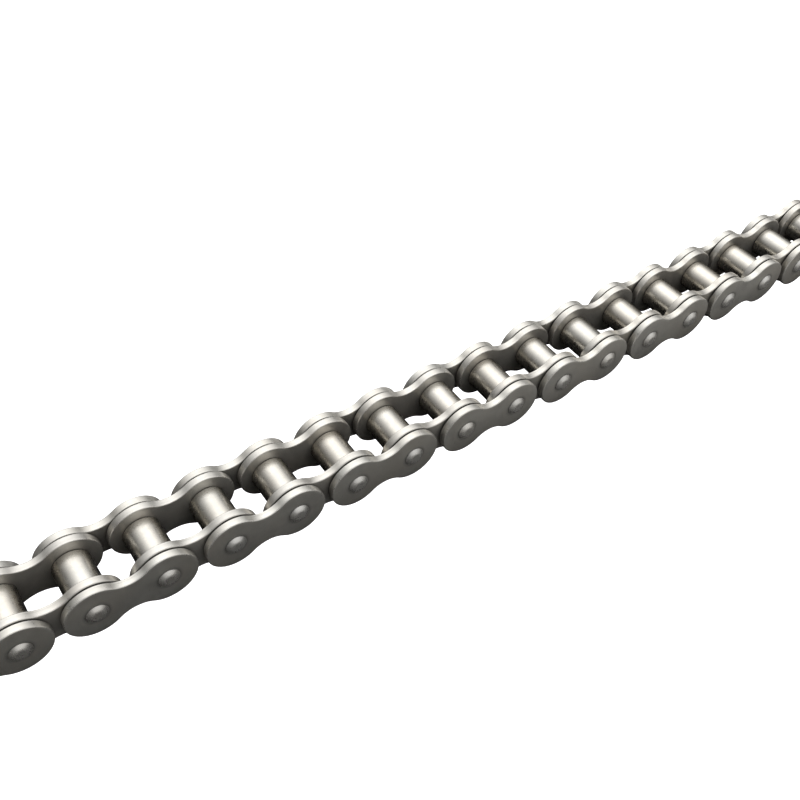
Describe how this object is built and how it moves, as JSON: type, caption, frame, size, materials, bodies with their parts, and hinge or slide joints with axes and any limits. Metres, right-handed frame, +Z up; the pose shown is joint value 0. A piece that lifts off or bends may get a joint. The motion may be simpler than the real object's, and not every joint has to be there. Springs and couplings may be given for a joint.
{
  "type": "roller chain",
  "caption": "Riveted steel roller chain: inner links with bushes and free rollers, joined by outer links with riveted pins, ending in inner links at both ends.",
  "frame": {"origin": "on the surface that the chain stands on, below the middle of the straight chain", "axes": "+X along the chain, +Y along the pins, +Z up across the plates' height"},
  "size_m": [0.3792, 0.0242, 0.0173],
  "materials": {
    "outer_plate": "tumbled satin steel",
    "inner_plate": "tumbled satin steel",
    "pin": "ground steel with riveted ends",
    "bush": "ground steel",
    "roller": "smooth polished steel"
  },
  "bodies": {
    "inner_link_01": {"inner_plate_01": "inner_plate", "bushed_inner_plate_01": "bush"},
    "outer_link_01": {"outer_plate_01": "outer_plate", "pinned_outer_plate_01": "pin"},
    "inner_link_02": {"inner_plate_02": "inner_plate", "bushed_inner_plate_02": "bush"},
    "outer_link_02": {"outer_plate_02": "outer_plate", "pinned_outer_plate_02": "pin"},
    "inner_link_03": {"inner_plate_03": "inner_plate", "bushed_inner_plate_03": "bush"},
    "outer_link_03": {"outer_plate_03": "outer_plate", "pinned_outer_plate_03": "pin"},
    "inner_link_04": {"inner_plate_04": "inner_plate", "bushed_inner_plate_04": "bush"},
    "outer_link_04": {"outer_plate_04": "outer_plate", "pinned_outer_plate_04": "pin"},
    "inner_link_05": {"inner_plate_05": "inner_plate", "bushed_inner_plate_05": "bush"},
    "outer_link_05": {"outer_plate_05": "outer_plate", "pinned_outer_plate_05": "pin"},
    "inner_link_06": {"inner_plate_06": "inner_plate", "bushed_inner_plate_06": "bush"},
    "outer_link_06": {"outer_plate_06": "outer_plate", "pinned_outer_plate_06": "pin"},
    "inner_link_07": {"inner_plate_07": "inner_plate", "bushed_inner_plate_07": "bush"},
    "outer_link_07": {"outer_plate_07": "outer_plate", "pinned_outer_plate_07": "pin"},
    "inner_link_08": {"inner_plate_08": "inner_plate", "bushed_inner_plate_08": "bush"},
    "outer_link_08": {"outer_plate_08": "outer_plate", "pinned_outer_plate_08": "pin"},
    "inner_link_09": {"inner_plate_09": "inner_plate", "bushed_inner_plate_09": "bush"},
    "outer_link_09": {"outer_plate_09": "outer_plate", "pinned_outer_plate_09": "pin"},
    "inner_link_10": {"inner_plate_10": "inner_plate", "bushed_inner_plate_10": "bush"},
    "roller_01": {"roller_01": "roller"},
    "roller_02": {"roller_02": "roller"},
    "roller_03": {"roller_03": "roller"},
    "roller_04": {"roller_04": "roller"},
    "roller_05": {"roller_05": "roller"},
    "roller_06": {"roller_06": "roller"},
    "roller_07": {"roller_07": "roller"},
    "roller_08": {"roller_08": "roller"},
    "roller_09": {"roller_09": "roller"},
    "roller_10": {"roller_10": "roller"},
    "roller_11": {"roller_11": "roller"},
    "roller_12": {"roller_12": "roller"},
    "roller_13": {"roller_13": "roller"},
    "roller_14": {"roller_14": "roller"},
    "roller_15": {"roller_15": "roller"},
    "roller_16": {"roller_16": "roller"},
    "roller_17": {"roller_17": "roller"},
    "roller_18": {"roller_18": "roller"},
    "roller_19": {"roller_19": "roller"},
    "roller_20": {"roller_20": "roller"}
  },
  "joints": [
    {"name": "link_pivot_01", "type": "hinge", "parent": "outer_link_01", "child": "inner_link_01", "pos_m": [-0.16193, 0, 0.00863], "axis": [0, -1, 0], "range_deg": [-110, 110]},
    {"name": "link_pivot_02", "type": "hinge", "parent": "inner_link_02", "child": "outer_link_01", "pos_m": [-0.14288, 0, 0.00863], "axis": [0, 1, 0], "range_deg": [-110, 110]},
    {"name": "link_pivot_03", "type": "hinge", "parent": "outer_link_02", "child": "inner_link_02", "pos_m": [-0.12383, 0, 0.00863], "axis": [0, -1, 0], "range_deg": [-110, 110]},
    {"name": "link_pivot_04", "type": "hinge", "parent": "inner_link_03", "child": "outer_link_02", "pos_m": [-0.10477, 0, 0.00863], "axis": [0, 1, 0], "range_deg": [-110, 110]},
    {"name": "link_pivot_05", "type": "hinge", "parent": "outer_link_03", "child": "inner_link_03", "pos_m": [-0.08572, 0, 0.00863], "axis": [0, -1, 0], "range_deg": [-110, 110]},
    {"name": "link_pivot_06", "type": "hinge", "parent": "inner_link_04", "child": "outer_link_03", "pos_m": [-0.06667, 0, 0.00863], "axis": [0, 1, 0], "range_deg": [-110, 110]},
    {"name": "link_pivot_07", "type": "hinge", "parent": "outer_link_04", "child": "inner_link_04", "pos_m": [-0.04763, 0, 0.00863], "axis": [0, -1, 0], "range_deg": [-110, 110]},
    {"name": "link_pivot_08", "type": "hinge", "parent": "inner_link_05", "child": "outer_link_04", "pos_m": [-0.02857, 0, 0.00863], "axis": [0, 1, 0], "range_deg": [-110, 110]},
    {"name": "link_pivot_09", "type": "hinge", "parent": "outer_link_05", "child": "inner_link_05", "pos_m": [-0.00953, 0, 0.00863], "axis": [0, -1, 0], "range_deg": [-110, 110]},
    {"name": "link_pivot_10", "type": "hinge", "parent": "outer_link_05", "child": "inner_link_06", "pos_m": [0.00953, 0, 0.00863], "axis": [0, -1, 0], "range_deg": [-110, 110]},
    {"name": "link_pivot_11", "type": "hinge", "parent": "inner_link_06", "child": "outer_link_06", "pos_m": [0.02857, 0, 0.00863], "axis": [0, 1, 0], "range_deg": [-110, 110]},
    {"name": "link_pivot_12", "type": "hinge", "parent": "outer_link_06", "child": "inner_link_07", "pos_m": [0.04763, 0, 0.00863], "axis": [0, -1, 0], "range_deg": [-110, 110]},
    {"name": "link_pivot_13", "type": "hinge", "parent": "inner_link_07", "child": "outer_link_07", "pos_m": [0.06667, 0, 0.00863], "axis": [0, 1, 0], "range_deg": [-110, 110]},
    {"name": "link_pivot_14", "type": "hinge", "parent": "outer_link_07", "child": "inner_link_08", "pos_m": [0.08572, 0, 0.00863], "axis": [0, -1, 0], "range_deg": [-110, 110]},
    {"name": "link_pivot_15", "type": "hinge", "parent": "inner_link_08", "child": "outer_link_08", "pos_m": [0.10477, 0, 0.00863], "axis": [0, 1, 0], "range_deg": [-110, 110]},
    {"name": "link_pivot_16", "type": "hinge", "parent": "outer_link_08", "child": "inner_link_09", "pos_m": [0.12383, 0, 0.00863], "axis": [0, -1, 0], "range_deg": [-110, 110]},
    {"name": "link_pivot_17", "type": "hinge", "parent": "inner_link_09", "child": "outer_link_09", "pos_m": [0.14288, 0, 0.00863], "axis": [0, 1, 0], "range_deg": [-110, 110]},
    {"name": "link_pivot_18", "type": "hinge", "parent": "outer_link_09", "child": "inner_link_10", "pos_m": [0.16193, 0, 0.00863], "axis": [0, -1, 0], "range_deg": [-110, 110]},
    {"name": "roller_spin_01", "type": "hinge", "parent": "inner_link_01", "child": "roller_01", "pos_m": [-0.18097, 0, 0.00863], "axis": [0, 1, 0], "continuous": true},
    {"name": "roller_spin_02", "type": "hinge", "parent": "inner_link_01", "child": "roller_02", "pos_m": [-0.16193, 0, 0.00863], "axis": [0, 1, 0], "continuous": true},
    {"name": "roller_spin_03", "type": "hinge", "parent": "inner_link_02", "child": "roller_03", "pos_m": [-0.14288, 0, 0.00863], "axis": [0, 1, 0], "continuous": true},
    {"name": "roller_spin_04", "type": "hinge", "parent": "inner_link_02", "child": "roller_04", "pos_m": [-0.12383, 0, 0.00863], "axis": [0, 1, 0], "continuous": true},
    {"name": "roller_spin_05", "type": "hinge", "parent": "inner_link_03", "child": "roller_05", "pos_m": [-0.10477, 0, 0.00863], "axis": [0, 1, 0], "continuous": true},
    {"name": "roller_spin_06", "type": "hinge", "parent": "inner_link_03", "child": "roller_06", "pos_m": [-0.08572, 0, 0.00863], "axis": [0, 1, 0], "continuous": true},
    {"name": "roller_spin_07", "type": "hinge", "parent": "inner_link_04", "child": "roller_07", "pos_m": [-0.06667, 0, 0.00863], "axis": [0, 1, 0], "continuous": true},
    {"name": "roller_spin_08", "type": "hinge", "parent": "inner_link_04", "child": "roller_08", "pos_m": [-0.04763, 0, 0.00863], "axis": [0, 1, 0], "continuous": true},
    {"name": "roller_spin_09", "type": "hinge", "parent": "inner_link_05", "child": "roller_09", "pos_m": [-0.02857, 0, 0.00863], "axis": [0, 1, 0], "continuous": true},
    {"name": "roller_spin_10", "type": "hinge", "parent": "inner_link_05", "child": "roller_10", "pos_m": [-0.00953, 0, 0.00863], "axis": [0, 1, 0], "continuous": true},
    {"name": "roller_spin_11", "type": "hinge", "parent": "inner_link_06", "child": "roller_11", "pos_m": [0.00953, 0, 0.00863], "axis": [0, 1, 0], "continuous": true},
    {"name": "roller_spin_12", "type": "hinge", "parent": "inner_link_06", "child": "roller_12", "pos_m": [0.02857, 0, 0.00863], "axis": [0, 1, 0], "continuous": true},
    {"name": "roller_spin_13", "type": "hinge", "parent": "inner_link_07", "child": "roller_13", "pos_m": [0.04763, 0, 0.00863], "axis": [0, 1, 0], "continuous": true},
    {"name": "roller_spin_14", "type": "hinge", "parent": "inner_link_07", "child": "roller_14", "pos_m": [0.06667, 0, 0.00863], "axis": [0, 1, 0], "continuous": true},
    {"name": "roller_spin_15", "type": "hinge", "parent": "inner_link_08", "child": "roller_15", "pos_m": [0.08572, 0, 0.00863], "axis": [0, 1, 0], "continuous": true},
    {"name": "roller_spin_16", "type": "hinge", "parent": "inner_link_08", "child": "roller_16", "pos_m": [0.10477, 0, 0.00863], "axis": [0, 1, 0], "continuous": true},
    {"name": "roller_spin_17", "type": "hinge", "parent": "inner_link_09", "child": "roller_17", "pos_m": [0.12383, 0, 0.00863], "axis": [0, 1, 0], "continuous": true},
    {"name": "roller_spin_18", "type": "hinge", "parent": "inner_link_09", "child": "roller_18", "pos_m": [0.14288, 0, 0.00863], "axis": [0, 1, 0], "continuous": true},
    {"name": "roller_spin_19", "type": "hinge", "parent": "inner_link_10", "child": "roller_19", "pos_m": [0.16193, 0, 0.00863], "axis": [0, 1, 0], "continuous": true},
    {"name": "roller_spin_20", "type": "hinge", "parent": "inner_link_10", "child": "roller_20", "pos_m": [0.18097, 0, 0.00863], "axis": [0, 1, 0], "continuous": true}
  ]
}
